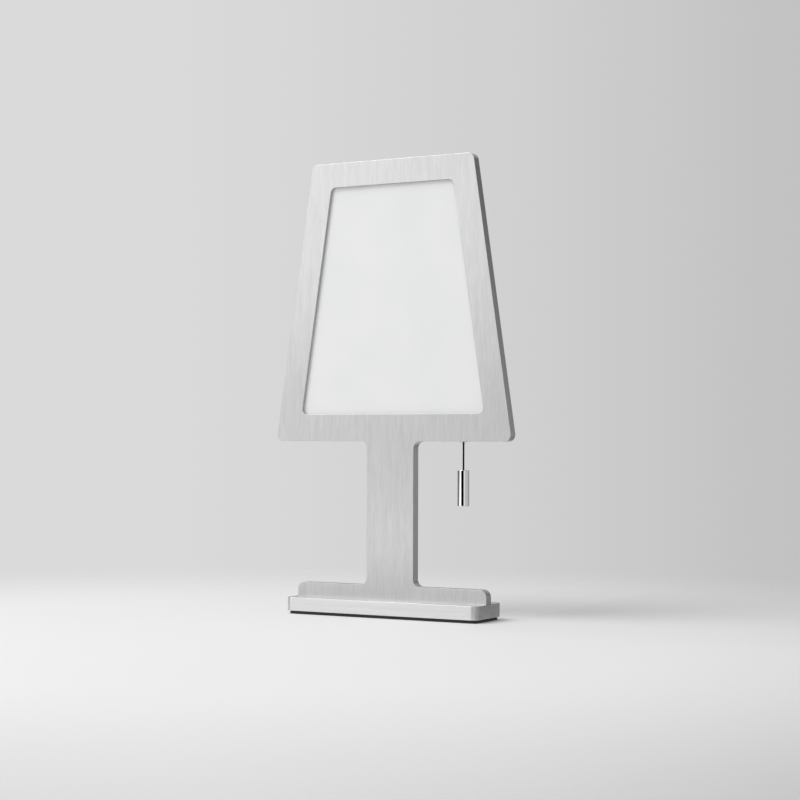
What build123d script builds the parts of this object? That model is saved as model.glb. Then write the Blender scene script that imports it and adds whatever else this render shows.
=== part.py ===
"""Light therapy lamp: a flat aluminium frame cut to the outline of a table lamp, with an edge-lit
light panel in its shade, a pull-cord switch in its lower border and a solid bar as its base.

Millimetres. +Z is up, +X is to the right seen from the front, and the front looks towards -Y.
The origin is on the ground under the middle of the base, in the middle of the frame's thickness.
"""

from build123d import *
import math
import os

# ---------------------------------------------------------------- driving dimensions

# Frame: one plate of aluminium, cut to shade, neck and foot
plate_thickness = 10.0
edge_break = 0.4
shade_bottom_z = 168.0
shade_top_z = 440.0
shade_bottom_width = 258.6
shade_top_width = 177.2
shade_corner_radius = 6.5
side_border = 24.8
window_bottom_z = 194.2
window_top_z = 416.2
window_corner_radius = 5.5
neck_width = 51.0
neck_top_fillet = 7.0
neck_foot_fillet = 7.0
foot_length = 206.8
foot_top_z = 29.5
foot_corner_radius = 7.0

# Base: a solid bar with a slot for the tenon under the foot, on a rubber pad
pad_height = 3.0
pad_inset = 2.4
base_length = 208.4
base_depth = 54.0
base_thickness = 13.0
base_corner_radius = 6.5
slot_depth = 7.0
tenon_length = 184.0

# Milled depths in the plate, from the front
window_lip = 3.0
cover_thickness = 1.8

# Light panel stack behind the lip
diffuser_thickness = 2.0
film_thickness = 0.3
guide_thickness = 2.0
reflector_thickness = 0.3
strip_thickness = 1.0
strip_width = 3.0
led_size = (3.0, 1.4, 0.8)
leds_per_strip = 24

# Margins, measured square to the shade's slanted sides
cavity_side_margin = 8.0
cavity_end_margin = 4.2
cover_ledge = 6.0
cover_ledge_bottom = 5.0
panel_play = 0.2
diffuser_corner_radius = 1.8
led_gap = 0.4
strip_end_gap = 3.0
cover_gap = 0.15
cover_inner_radius = 4.0

# Service bay, under the light cavity
bay_bottom_z = 176.0
bay_top_z = 188.5
bay_half_width = 109.0
wire_channel_width = 8.0
wire_channel_bottom_z = 24.0
wire_channel_front_y = 0.0
pocket_corner_radius = 2.0
notch_width = 4.0
notch_offset = 2.6
tongue_width = 28.0
tongue_bottom_z = 19.5
wire_hole_diameter = 5.0

# Pull switch
pull_x = 76.3
pull_y = 0.6
cord_diameter = 1.7
cord_bore = 2.4
eyelet_diameter = 3.4
eyelet_flange_diameter = 7.0
eyelet_flange_height = 0.5
switch_width = 22.0
switch_bottom_z = 172.5
switch_top_z = 186.6
switch_wall = 1.0
switch_skin = 0.8
slider_width = 5.6
slider_height = 3.6
slider_play = 0.1
ramp_ratio = 0.1
ramp_height = 6.5
ramp_width = 1.4
guide_rib_width = 1.2
ferrule_diameter = 2.6
ferrule_height = 1.8
ferrule_seat_depth = 2.2
spring_wire = 0.4
spring_outer = 3.2
spring_turns = 4
spring_turn_sides = 8
plunger_diameter = 1.4
plunger_seat_depth = 1.2
tact_size = (4.2, 3.0, 5.0)
tab_pitch = 2.4
tab_size = (1.5, 1.0, 0.6)

# Pull cord and knob
stop_bead_diameter = 2.2
stop_bead_z = 166.0
knob_diameter = 11.0
knob_length = 34.0
knob_top_z = 141.0
knob_edge_break = 0.4
knob_insert_diameter = 6.0
knob_insert_length = 9.0
crimp_diameter = 3.2
crimp_height = 2.4
knob_bore_gap = 0.5
body_gap = 0.3

# Screws
screw_sides = 6
screw_lip = 0.15
cover_screw_diameter = 2.0
cover_screw_head = 3.8
cover_screw_length = 5.0
cover_screw_socket = 1.3
foot_screw_diameter = 4.0
foot_screw_head = 7.5
foot_screw_length = 16.0
foot_screw_socket = 2.5
foot_screw_x = (-85.0, -35.0, 35.0, 85.0)

# Power inlet, in the back of the base
jack_z = 9.0
jack_flange_diameter = 10.0
jack_flange_thickness = 1.6
jack_barrel_diameter = 8.0
jack_tail_diameter = 6.8
jack_socket_diameter = 5.6
jack_socket_depth = 9.0
jack_pin_diameter = 2.1
jack_nut_width = 9.0
jack_nut_thickness = 2.0
jack_pocket_front_y = 6.0
jack_pocket_back_y = 19.5
jack_pocket_half_width = 8.0
jack_pocket_top_z = 13.8
jack_lug_size = (1.8, 4.0, 0.4)
jack_lug_x = 1.6
wire_groove_width = 6.0
wire_groove_top_z = 7.0
power_wire_diameter = 1.2
power_wire_offset = 0.9

# Driver board, in the service bay
board_size = (62.0, 1.0, 10.4)
board_centre_x = -14.0
board_pad_thickness = 1.0
connector_size = (5.0, 2.8, 4.6)
connector_wall = 0.6
connector_back = 1.6
capacitor_size = (1.8, 3.4, 1.8)
capacitors_from_left = (13.0, 16.0, 41.0, 44.0)
inductor_size = (6.4, 6.4, 2.8)
inductor_corner = 1.2
inductor_from_left = 24.0
chip_size = (5.0, 4.0, 1.5)
chip_leg_size = (0.4, 6.0, 0.4)
chip_leg_pitch = 1.27
chip_from_left = 34.0
signal_wire_diameter = 0.9
wire_bend_radius = 10.0

# ---------------------------------------------------------------- worked-out places

front_y = -plate_thickness / 2
back_y = plate_thickness / 2
lip_y = front_y + window_lip
cover_y = back_y - cover_thickness
diffuser_back_y = lip_y + diffuser_thickness
film_back_y = diffuser_back_y + film_thickness
guide_back_y = film_back_y + guide_thickness
reflector_back_y = guide_back_y + reflector_thickness

base_bottom_z = pad_height
base_top_z = base_bottom_z + base_thickness
slot_floor_z = base_top_z - slot_depth
base_back_y = base_depth / 2

side_slope = (shade_bottom_width - shade_top_width) / 2 / (shade_top_z - shade_bottom_z)
slant_factor = math.sqrt(1 + side_slope**2)
lean_angle = math.degrees(math.atan(side_slope))

bay_middle_z = (bay_bottom_z + bay_top_z) / 2
board_left_x = board_centre_x - board_size[0] / 2
board_right_x = board_centre_x + board_size[0] / 2
board_face_y = lip_y + board_pad_thickness + board_size[1]

cavity_inset = side_border - cavity_side_margin
cavity_bottom_z = window_bottom_z - cavity_end_margin
cavity_top_z = window_top_z + cavity_end_margin
cover_inset = cavity_inset - cover_ledge
cover_bottom_z = bay_bottom_z - cover_ledge_bottom
cover_top_z = cavity_top_z + cover_ledge
jack_flange_y = base_back_y - jack_flange_thickness
jack_barrel_front_y = jack_pocket_back_y - jack_nut_thickness - 1.0
jack_tail_y = jack_barrel_front_y - 2.5
ledge_inset = cavity_inset - cover_ledge / 2

switch_left_x = pull_x - switch_width / 2
switch_right_x = pull_x + switch_width / 2
switch_floor_z = switch_bottom_z + switch_wall
switch_ceiling_z = switch_top_z - switch_wall
switch_front_y = lip_y + switch_skin
switch_lid_y = cover_y - switch_skin
slider_bottom_z = switch_ceiling_z - slider_height
slider_right_x = pull_x + slider_width / 2
slider_left_x = pull_x - slider_width / 2
ramp_left_x = slider_left_x - ramp_width
ramp_bottom_z = switch_ceiling_z - ramp_height
plunger_z = ramp_bottom_z + 0.5
tact_centre_z = plunger_z
tact_left_x = switch_left_x + switch_wall + 0.3
tact_right_x = tact_left_x + tact_size[0]

eyelet_bottom_z = shade_bottom_z - eyelet_flange_height
cord_break_z = stop_bead_z + stop_bead_diameter / 2 + body_gap
cord_start_z = stop_bead_z - stop_bead_diameter / 2 - body_gap
cord_end_z = knob_top_z - knob_insert_length

side_screw_z = (225.0, 375.0)
top_screw_x = (-44.0, 44.0)
bottom_screw_x = (-98.0, -46.0, 46.0, 98.0)
tongue_screw_z = (38.0,)
tongue_screw_x = (tongue_width + wire_channel_width) / 4


# ---------------------------------------------------------------- shared shapes


def half_width(z, inset=0.0):
    """Half of the shade's width at a height, a given distance inside its slanted side."""
    return shade_bottom_width / 2 - side_slope * (z - shade_bottom_z) - inset * slant_factor


def shade_outline(bottom, top, inset, radius=0.0):
    """The shade's trapezium drawn inwards, in X and Z."""
    low = half_width(bottom, inset)
    high = half_width(top, inset)
    corners = [(-low, bottom), (low, bottom), (high, top), (-high, top)]
    face = make_face(Polyline(*corners, close=True))
    return fillet(face.vertices(), radius) if radius else face


def rectangle(left, right, bottom, top, radius=0.0):
    """An upright rectangle in X and Z."""
    face = Pos((left + right) / 2, (bottom + top) / 2) * Rectangle(right - left, top - bottom)
    if radius:
        face = fillet(face.vertices(), radius)
    return face


def slab(face, front, back):
    """A flat piece: an outline in X and Z, from a front to a back Y."""
    plane = Plane(origin=(0, back, 0), x_dir=(1, 0, 0), z_dir=(0, -1, 0))
    return extrude(plane * face, amount=back - front)


def block(left, right, front, back, bottom, top):
    """A box by its six faces."""
    centre = Pos((left + right) / 2, (front + back) / 2, (bottom + top) / 2)
    return centre * Box(right - left, back - front, top - bottom)


def upright_rod(x, y, bottom, top, diameter):
    """A cylinder along Z."""
    return Pos(x, y, (bottom + top) / 2) * Cylinder(diameter / 2, top - bottom)


def rod_along_y(x, z, front, back, diameter):
    """A cylinder along Y."""
    return Pos(x, (front + back) / 2, z) * Rot(90, 0, 0) * Cylinder(diameter / 2, back - front)


def rod_along_x(y, z, left, right, diameter):
    """A cylinder along X."""
    return Pos((left + right) / 2, y, z) * Rot(0, 90, 0) * Cylinder(diameter / 2, right - left)


def screw_seat(diameter, head, length):
    """The countersunk hole that a flat-headed screw fills, drawn with few sides."""
    cone_height = (head - diameter) / 2 * math.cos(math.pi / screw_sides)
    cone = extrude(RegularPolygon(head / 2, screw_sides), amount=-(screw_lip + cone_height))
    cone = chamfer(cone.faces().sort_by(Axis.Z)[0].edges(), cone_height)
    return cone + extrude(RegularPolygon(diameter / 2, screw_sides), amount=-length)


def countersunk_screw(diameter, head, length, socket):
    """A flat-headed screw, its head's face at the origin and its shank along -Z."""
    recess = extrude(RegularPolygon(socket / 2, 6, major_radius=False), amount=-socket * 0.5)
    return screw_seat(diameter, head, length) - recess


def cover_screw_places():
    """The frame of each rear-cover screw: head outwards at the back face."""
    ledge_z = (bay_bottom_z + cover_bottom_z) / 2
    ledge_top_z = cavity_top_z + cover_ledge / 2
    spots = [(x, ledge_top_z) for x in top_screw_x]
    spots += [(x, ledge_z) for x in bottom_screw_x]
    for side in (-1, 1):
        spots += [(side * half_width(z, ledge_inset), z) for z in side_screw_z]
        spots += [(side * tongue_screw_x, z) for z in tongue_screw_z]
    return [Pos(x, back_y, z) * Rot(-90, 0, 0) for x, z in spots]


def foot_screw_places():
    """The frame of each foot screw: head downwards at the base's underside."""
    return [Pos(x, 0, base_bottom_z) * Rot(180, 0, 0) for x in foot_screw_x]


def wire(points, diameter):
    """A wire along straight runs joined by tangent arcs, drawn six-sided to keep its facets few."""
    corners = [Vector(*p) for p in points]
    radii = []
    for before, here, after in zip(corners, corners[1:], corners[2:]):
        turn = (here - before).get_angle(after - here)
        shorter = min((here - before).length, (after - here).length)
        radii.append(min(0.45 * shorter / math.tan(math.radians(turn / 2)), wire_bend_radius))
    path = FilletPolyline(*corners, radius=radii)
    start = Plane(origin=path @ 0, z_dir=path % 0)
    return sweep(start * RegularPolygon(diameter / 2, 6), path=path)


# ---------------------------------------------------------------- the frame and its cover


def frame_outline():
    """Shade, neck, foot and the tenon under the foot as one outline, before the window."""
    tenon = tenon_length / 2
    neck = neck_width / 2
    foot = foot_length / 2
    low = shade_bottom_width / 2
    high = shade_top_width / 2
    right = [
        (tenon, slot_floor_z),
        (tenon, base_top_z),
        (foot, base_top_z),
        (foot, foot_top_z),
        (neck, foot_top_z),
        (neck, shade_bottom_z),
        (low, shade_bottom_z),
        (high, shade_top_z),
    ]
    left = [(-x, z) for x, z in reversed(right)]
    face = make_face(Polyline(*right, *left, close=True))

    def corners(x, z):
        return face.vertices().filter_by(
            lambda v: math.isclose(abs(v.X), x, abs_tol=0.01) and math.isclose(v.Y, z, abs_tol=0.01)
        )

    face = fillet(corners(foot, foot_top_z), foot_corner_radius)
    face = fillet(corners(neck, foot_top_z), neck_foot_fillet)
    face = fillet(corners(neck, shade_bottom_z), neck_top_fillet)
    face = fillet(corners(low, shade_bottom_z), shade_corner_radius)
    return fillet(corners(high, shade_top_z), shade_corner_radius)


def cover_outline(gap):
    """The rear cover's outline: the shade's trapezium with a tongue down the neck."""
    radius = shade_corner_radius - gap
    shade = shade_outline(cover_bottom_z + gap, cover_top_z - gap, cover_inset + gap, radius)
    half = tongue_width / 2 - gap
    tongue = rectangle(-half, half, tongue_bottom_z + gap, cover_bottom_z + 10)
    face = shade + tongue
    foot_corners = face.vertices().filter_by(lambda v: v.Y < tongue_bottom_z + 1)
    face = fillet(foot_corners, cover_inner_radius - gap)
    inner_corners = face.vertices().filter_by(
        lambda v: abs(v.Y - cover_bottom_z - gap) < 0.01 and abs(v.X) < half + 0.01
    )
    return fillet(inner_corners, cover_inner_radius + gap)


def make_frame_plate():
    """The milled plate: window and lip in front, light cavity, bay and wire channel behind."""
    plate = slab(frame_outline(), front_y, back_y)
    window = shade_outline(window_bottom_z, window_top_z, side_border, window_corner_radius)
    plate -= slab(window, front_y, back_y)
    front_edges = plate.faces().sort_by(Axis.Y)[0].edges()
    back_outline = plate.faces().sort_by(Axis.Y)[-1].outer_wire().edges()
    plate = chamfer(front_edges + back_outline, edge_break)

    plate -= slab(cover_outline(0.0), cover_y, back_y)
    cavity = shade_outline(cavity_bottom_z, cavity_top_z, cavity_inset, pocket_corner_radius)
    plate -= slab(cavity, lip_y, cover_y)
    bay = rectangle(-bay_half_width, bay_half_width, bay_bottom_z, bay_top_z, pocket_corner_radius)
    plate -= slab(bay, lip_y, cover_y)
    for side in (-1, 1):
        notch_x = side * (half_width(cavity_bottom_z, cavity_inset) - notch_offset)
        notch_left, notch_right = notch_x - notch_width / 2, notch_x + notch_width / 2
        notch = rectangle(notch_left, notch_right, bay_top_z - 1, cavity_bottom_z + 1)
        plate -= slab(notch, lip_y, cover_y)
    switch_bay = rectangle(switch_left_x, switch_right_x, switch_bottom_z, bay_top_z)
    plate -= slab(switch_bay, lip_y, cover_y)
    channel_half = wire_channel_width / 2
    channel = rectangle(-channel_half, channel_half, wire_channel_bottom_z, bay_bottom_z + 1)
    plate -= slab(channel, wire_channel_front_y, cover_y)

    hole_top_z = wire_channel_bottom_z + wire_hole_diameter
    plate -= upright_rod(0, 0, slot_floor_z, hole_top_z, wire_hole_diameter)
    plate -= upright_rod(pull_x, pull_y, shade_bottom_z, switch_bottom_z, eyelet_diameter)
    for place in cover_screw_places():
        plate -= place * screw_seat(cover_screw_diameter, cover_screw_head, cover_screw_length)
    for place in foot_screw_places():
        plate -= place * screw_seat(foot_screw_diameter, foot_screw_head, foot_screw_length)
    return plate


def make_rear_cover():
    """The inset sheet that closes the back of the shade and neck."""
    cover = slab(cover_outline(cover_gap), cover_y, back_y)
    for place in cover_screw_places():
        cover -= place * screw_seat(cover_screw_diameter, cover_screw_head, cover_screw_length)
    return cover


def make_cover_screws():
    screw = countersunk_screw(
        cover_screw_diameter, cover_screw_head, cover_screw_length, cover_screw_socket
    )
    return [place * screw for place in cover_screw_places()]


# ---------------------------------------------------------------- the light panel


def panel_sheet(front, back, inset, radius=0.0):
    """One flat layer of the light panel, lying between the lip and the cover."""
    bottom = cavity_bottom_z + panel_play
    top = cavity_top_z - panel_play
    return slab(shade_outline(bottom, top, inset, radius), front, back)


def make_diffuser():
    """The opal sheet, which fills the cavity to its round corners."""
    return panel_sheet(lip_y, diffuser_back_y, cavity_inset + panel_play, diffuser_corner_radius)


def guide_inset():
    """How far the light guide's edge is inside the shade's side, past strip and LEDs."""
    return cavity_inset + strip_thickness + led_size[2] + led_gap


def make_optical_film():
    return panel_sheet(diffuser_back_y, film_back_y, guide_inset())


def make_light_guide():
    return panel_sheet(film_back_y, guide_back_y, guide_inset())


def make_reflector_sheet():
    return panel_sheet(guide_back_y, reflector_back_y, guide_inset())


def make_foam_backing():
    return panel_sheet(reflector_back_y, cover_y, guide_inset() + 1.0)


def strip_frame():
    """Frame of the right strip: +Z along the cavity's slanted wall, +X square to it."""
    x = half_width(cavity_bottom_z, cavity_inset)
    return Pos(x, 0, cavity_bottom_z) * Rot(0, -lean_angle, 0)


def strip_length():
    return (cavity_top_z - cavity_bottom_z) * slant_factor - 2 * strip_end_gap


def make_led_strip():
    """The aluminium-backed circuit strip on the right wall of the cavity."""
    middle_y = (diffuser_back_y + cover_y) / 2
    centre = Pos(-strip_thickness / 2, middle_y, strip_end_gap + strip_length() / 2)
    return strip_frame() * centre * Box(strip_thickness, strip_width, strip_length())


def make_leds():
    """The row of LED packages on the right strip, facing the light guide's edge."""
    along, wide, tall = led_size
    middle_y = (film_back_y + guide_back_y) / 2
    pitch = strip_length() / leds_per_strip
    package = Box(tall, wide, along)
    x = -strip_thickness - tall / 2
    return [
        strip_frame() * Pos(x, middle_y, strip_end_gap + (i + 0.5) * pitch) * package
        for i in range(leds_per_strip)
    ]


# ---------------------------------------------------------------- the driver board


def on_board(x, z, length, height, tall):
    """A boxy component standing on the board's face, centred at X and Z."""
    return block(
        x - length / 2, x + length / 2, board_face_y, board_face_y + tall, z - height / 2, z + height / 2
    )


def make_driver_pad():
    """The thermal pad that glues the board to the plate's front skin."""
    half = board_size[2] / 2 - 0.4
    return block(
        board_left_x + 1,
        board_right_x - 1,
        lip_y,
        lip_y + board_pad_thickness,
        bay_middle_z - half,
        bay_middle_z + half,
    )


def make_driver_board():
    half = board_size[2] / 2
    board = rectangle(board_left_x, board_right_x, bay_middle_z - half, bay_middle_z + half)
    return slab(board, lip_y + board_pad_thickness, board_face_y)


def make_driver_inductor():
    """A shielded power inductor with cut-off corners."""
    coil = on_board(board_left_x + inductor_from_left, bay_middle_z, *inductor_size)
    return chamfer(coil.edges().filter_by(Axis.Y), inductor_corner)


def make_driver_chip():
    """The driver chip's body with its two rows of legs."""
    x = board_left_x + chip_from_left
    chip = on_board(x, bay_middle_z, *chip_size)
    for step in (-1.5, -0.5, 0.5, 1.5):
        chip += on_board(x + step * chip_leg_pitch, bay_middle_z, *chip_leg_size)
    return chip


def make_driver_capacitors():
    return [on_board(board_left_x + x, bay_middle_z, *capacitor_size) for x in capacitors_from_left]


def make_wire_connectors():
    """Wire-to-board sockets at the board's ends, each with its mouth towards its wires."""
    length, tall, height = connector_size
    half = length / 2
    sockets = []
    for x, z, mouth_side in connector_places():
        shell = on_board(x, z, length, height, tall)
        mouth_left = x - half if mouth_side < 0 else x - half + connector_back
        mouth = block(
            mouth_left,
            mouth_left + length - connector_back,
            board_face_y + connector_wall,
            board_face_y + tall - connector_wall,
            z - height / 2 + connector_wall,
            z + height / 2 - connector_wall,
        )
        sockets.append(shell - mouth)
    return sockets


def connector_places():
    """Centre X, centre Z and mouth side of each socket: left LEDs, right LEDs, switch."""
    offset = connector_size[0] / 2
    row = connector_size[2] / 2 + 0.2
    return [
        (board_left_x + offset, bay_middle_z, -1),
        (board_right_x - offset, bay_middle_z + row, 1),
        (board_right_x - offset, bay_middle_z - row, 1),
    ]


# ---------------------------------------------------------------- the pull switch


def make_switch_housing():
    """The moulded tray: floor, walls, a guide rib for the slider and a hole for the eyelet."""
    tray = block(switch_left_x, switch_right_x, lip_y, switch_lid_y, switch_bottom_z, switch_top_z)
    inner_left = switch_left_x + switch_wall
    inner_right = switch_right_x - switch_wall
    tray -= block(
        inner_left, inner_right, switch_front_y, switch_lid_y, switch_floor_z, switch_ceiling_z
    )
    rib_x = slider_right_x + slider_play
    tray += block(
        rib_x, rib_x + guide_rib_width, switch_front_y, switch_lid_y, switch_floor_z, switch_ceiling_z
    )
    tray -= upright_rod(pull_x, pull_y, switch_bottom_z, switch_floor_z, cord_bore)
    slot_half_y, slot_half_z = tab_size[1] / 2 + 0.3, tab_pitch / 2 + 0.8
    return tray - block(
        switch_left_x,
        inner_left,
        pull_y - slot_half_y,
        pull_y + slot_half_y,
        tact_centre_z - slot_half_z,
        tact_centre_z + slot_half_z,
    )


def make_switch_lid():
    return block(switch_left_x, switch_right_x, switch_lid_y, cover_y, switch_bottom_z, switch_top_z)


def make_pull_slider():
    """The slider: a block bored for the cord, with the long ramp that works the plunger."""
    front = switch_front_y + slider_play
    back = switch_lid_y - slider_play
    top = switch_ceiling_z
    head = block(slider_left_x, slider_right_x, front, back, slider_bottom_z, top)
    lean = ramp_ratio * ramp_height
    ramp = make_face(
        Polyline(
            (ramp_left_x + lean, ramp_bottom_z),
            (slider_left_x + 0.2, ramp_bottom_z),
            (slider_left_x + 0.2, top),
            (ramp_left_x, top),
            close=True,
        )
    )
    head += slab(ramp, front, back)
    seat_z = top - ferrule_seat_depth
    head -= upright_rod(pull_x, pull_y, slider_bottom_z, seat_z, cord_diameter)
    return head - upright_rod(pull_x, pull_y, seat_z, top, ferrule_diameter)


def make_cord_ferrule():
    """The crimped ferrule that keeps the cord's upper end in the slider."""
    bottom = switch_ceiling_z - ferrule_seat_depth
    return upright_rod(pull_x, pull_y, bottom, bottom + ferrule_height, ferrule_diameter)


def make_return_spring():
    """The compression spring under the slider, drawn with square wire in short straight runs."""
    radius = (spring_outer - spring_wire) / 2
    bottom = switch_floor_z + spring_wire / 2
    height = slider_bottom_z - switch_floor_z - spring_wire
    coil = Helix(pitch=height / spring_turns, height=height, radius=radius)
    runs = spring_turns * spring_turn_sides
    path = Polyline(*[coil @ (i / runs) for i in range(runs + 1)])
    start = Plane(origin=path @ 0, z_dir=path % 0)
    section = start * RegularPolygon(spring_wire / 2, 4)
    return Pos(pull_x, pull_y, bottom) * sweep(section, path=path, transition=Transition.RIGHT)


def make_tact_switch():
    """The small key switch, bored for its plunger."""
    depth, thick, tall = tact_size
    body = block(
        tact_left_x,
        tact_right_x,
        switch_front_y,
        switch_front_y + thick,
        tact_centre_z - tall / 2,
        tact_centre_z + tall / 2,
    )
    bore = plunger_diameter + 2 * slider_play
    bore_left_x = tact_right_x - plunger_seat_depth - 1.0
    return body - rod_along_x(pull_y, plunger_z, bore_left_x, tact_right_x, bore)


def make_switch_plunger():
    """The switch's plunger, a fixed hair's breadth from the slider's ramp."""
    ramp_x = ramp_left_x + ramp_ratio * (switch_ceiling_z - plunger_z - plunger_diameter / 2)
    tip = ramp_x - slider_play
    return rod_along_x(pull_y, plunger_z, tact_right_x - plunger_seat_depth, tip, plunger_diameter)


def make_switch_terminals():
    """Two tabs that come out of the housing's left wall."""
    reach, wide, thick = tab_size
    tabs = []
    for z in (tact_centre_z - tab_pitch / 2, tact_centre_z + tab_pitch / 2):
        tabs.append(
            block(
                switch_left_x - reach,
                tact_left_x,
                pull_y - wide / 2,
                pull_y + wide / 2,
                z - thick / 2,
                z + thick / 2,
            )
        )
    return tabs


def make_exit_eyelet():
    """The flanged eyelet that lines the cord's way out of the frame."""
    profile = Polyline(
        (cord_bore / 2, switch_bottom_z),
        (eyelet_diameter / 2, switch_bottom_z),
        (eyelet_diameter / 2, shade_bottom_z),
        (eyelet_flange_diameter / 2, shade_bottom_z),
        (eyelet_flange_diameter / 2, eyelet_bottom_z),
        (cord_bore / 2, eyelet_bottom_z),
        close=True,
    )
    ring = revolve(Plane.XZ * make_face(profile), Axis.Z)
    return Pos(pull_x, pull_y, 0) * ring


# ---------------------------------------------------------------- the cord and its knob


def make_cord_upper():
    """The stretch of cord inside the switch, from the ferrule to the eyelet's mouth."""
    top = switch_ceiling_z - ferrule_seat_depth
    return upright_rod(pull_x, pull_y, cord_break_z, top, cord_diameter)


def make_cord_stop():
    """The faceted bead on the cord under the eyelet, about which the cord swings."""
    size = stop_bead_diameter
    bead = Box(size, size, size)
    return Pos(pull_x, pull_y, stop_bead_z) * chamfer(bead.edges(), 0.29 * size)


def make_pull_cord():
    return upright_rod(pull_x, pull_y, cord_end_z, cord_start_z, cord_diameter)


def make_knob_insert():
    """The plug pressed into the knob, bored for the cord."""
    bottom = knob_top_z - knob_insert_length
    plug = upright_rod(pull_x, pull_y, bottom, knob_top_z, knob_insert_diameter)
    return plug - upright_rod(pull_x, pull_y, bottom, knob_top_z, cord_diameter)


def make_cord_crimp():
    """The crimp on the cord's lower end, under the insert, that carries the knob."""
    top = knob_top_z - knob_insert_length
    return upright_rod(pull_x, pull_y, top - crimp_height, top, crimp_diameter)


def make_pull_knob():
    """The turned knob, bored from above for its insert."""
    bottom = knob_top_z - knob_length
    knob = upright_rod(pull_x, pull_y, bottom, knob_top_z, knob_diameter)
    rims = knob.edges().filter_by(GeomType.CIRCLE)
    knob = chamfer(rims, knob_edge_break)
    bore_bottom = knob_top_z - knob_insert_length - crimp_height - knob_bore_gap
    return knob - upright_rod(pull_x, pull_y, bore_bottom, knob_top_z, knob_insert_diameter)


# ---------------------------------------------------------------- the base


def make_base_bar():
    """The bar: round-ended slot on top, screw seats and the inlet's pocket underneath."""
    outline = RectangleRounded(base_length, base_depth, base_corner_radius)
    bar = Pos(0, 0, base_bottom_z) * extrude(outline, amount=base_thickness)
    rims = bar.faces().sort_by(Axis.Z)[0].edges() + bar.faces().sort_by(Axis.Z)[-1].edges()
    bar = chamfer(rims, edge_break)
    slot = SlotCenterToCenter(tenon_length, plate_thickness)
    bar -= Pos(0, 0, slot_floor_z) * extrude(slot, amount=slot_depth)
    for place in foot_screw_places():
        bar -= place * screw_seat(foot_screw_diameter, foot_screw_head, foot_screw_length)

    half = jack_pocket_half_width
    pocket = block(
        -half, half, jack_pocket_front_y, jack_pocket_back_y, base_bottom_z, jack_pocket_top_z
    )
    bar -= fillet(pocket.edges().filter_by(Axis.Z), pocket_corner_radius)
    groove_half = wire_groove_width / 2
    bar -= block(
        -groove_half,
        groove_half,
        -wire_hole_diameter / 2,
        jack_pocket_front_y,
        base_bottom_z,
        wire_groove_top_z,
    )
    bar -= upright_rod(0, 0, base_bottom_z, slot_floor_z, wire_hole_diameter)
    bar -= rod_along_y(0, jack_z, jack_flange_y, base_back_y, jack_flange_diameter)
    return bar - rod_along_y(0, jack_z, jack_pocket_back_y, jack_flange_y, jack_barrel_diameter)


def make_rubber_pad():
    """The rubber sheet under the bar, a little smaller all round."""
    length = base_length - 2 * pad_inset
    depth = base_depth - 2 * pad_inset
    outline = RectangleRounded(length, depth, base_corner_radius - pad_inset)
    return extrude(outline, amount=pad_height)


def make_foot_screws():
    screw = countersunk_screw(
        foot_screw_diameter, foot_screw_head, foot_screw_length, foot_screw_socket
    )
    return [place * screw for place in foot_screw_places()]


# ---------------------------------------------------------------- the power inlet


def make_dc_jack():
    """The barrel socket: flange flush with the bar, threaded barrel and a slimmer tail."""
    jack = rod_along_y(0, jack_z, jack_flange_y, base_back_y, jack_flange_diameter)
    jack += rod_along_y(0, jack_z, jack_barrel_front_y, jack_flange_y, jack_barrel_diameter)
    jack += rod_along_y(0, jack_z, jack_tail_y, jack_barrel_front_y, jack_tail_diameter)
    mouth = base_back_y - jack_socket_depth
    return jack - rod_along_y(0, jack_z, mouth, base_back_y, jack_socket_diameter)


def make_dc_jack_pin():
    """The socket's centre pin, seated in its floor and standing back from its mouth."""
    floor = base_back_y - jack_socket_depth
    pin = rod_along_y(0, jack_z, floor, base_back_y - 1.0, jack_pin_diameter)
    tip = pin.faces().sort_by(Axis.Y)[-1].edges()
    return chamfer(tip, 0.4)


def make_dc_jack_nut():
    """The thin hexagon nut inside the pocket."""
    back = jack_pocket_back_y
    plane = Plane(origin=(0, back, jack_z), x_dir=(1, 0, 0), z_dir=(0, -1, 0))
    hexagon = plane * RegularPolygon(jack_nut_width / 2, 6, major_radius=False)
    nut = extrude(hexagon, amount=jack_nut_thickness)
    front = back - jack_nut_thickness
    return nut - rod_along_y(0, jack_z, front, back, jack_barrel_diameter)


def make_dc_jack_lugs():
    """Two solder tabs on the socket's tail."""
    wide, reach, thick = jack_lug_size
    lugs = []
    for side in (-1, 1):
        x = side * jack_lug_x
        lugs.append(
            block(
                x - wide / 2,
                x + wide / 2,
                jack_tail_y - reach,
                jack_tail_y,
                jack_z - thick / 2,
                jack_z + thick / 2,
            )
        )
    return lugs


# ---------------------------------------------------------------- wires


def make_power_wires():
    """The pair from the inlet, under the slot, up the neck and on to the driver board."""
    channel_y = cover_y / 2
    board_z = bay_middle_z - board_size[2] / 2
    lug_z = jack_z - (jack_lug_size[2] + power_wire_diameter) / 2
    wires = []
    for side in (-1, 1):
        x = side * power_wire_offset
        route = [
            (side * jack_lug_x, jack_tail_y - 2.5, lug_z),
            (side * 1.4, jack_tail_y - 6.5, jack_z - 2.4),
            (x, 0.2, 5.6),
            (x, 0.2, 22.0),
            (x, channel_y, 33.0),
            (x * 1.1, channel_y, 170.0),
            (x * 1.4, board_face_y + 0.65, board_z + 2.0),
        ]
        wires.append(wire(route, power_wire_diameter))
    return wires


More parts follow.
